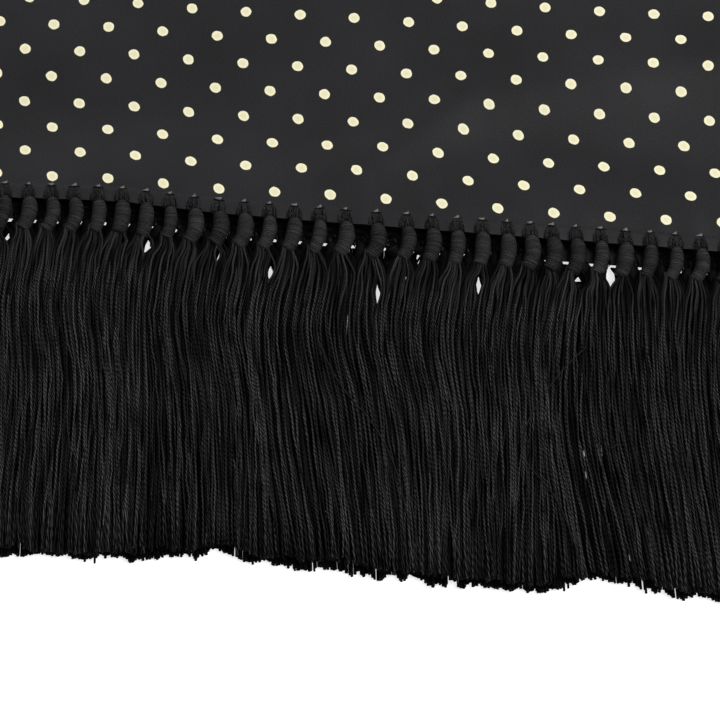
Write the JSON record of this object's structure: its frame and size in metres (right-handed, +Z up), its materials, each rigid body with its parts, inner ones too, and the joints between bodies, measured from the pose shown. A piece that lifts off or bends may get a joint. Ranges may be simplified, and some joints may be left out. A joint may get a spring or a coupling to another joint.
{
  "type": "silk shawl",
  "caption": "Narrow silk neck shawl folded in half and laid flat, with a row of wrapped tassels along the hem of each end, one over the other.",
  "frame": {"origin": "under the middle of the shawl, on the surface that it lies on", "axes": "+X across the cloth, +Y from the tassels to the fold, +Z up"},
  "size_m": [0.3054, 0.9238, 0.0093],
  "materials": {
    "silk": "satin",
    "fringe": "twisted yarn"
  },
  "bodies": {
    "root": {"upper_layer": "silk", "lower_layer": "silk", "upper_fringe": "fringe", "lower_fringe": "fringe"}
  },
  "joints": []
}
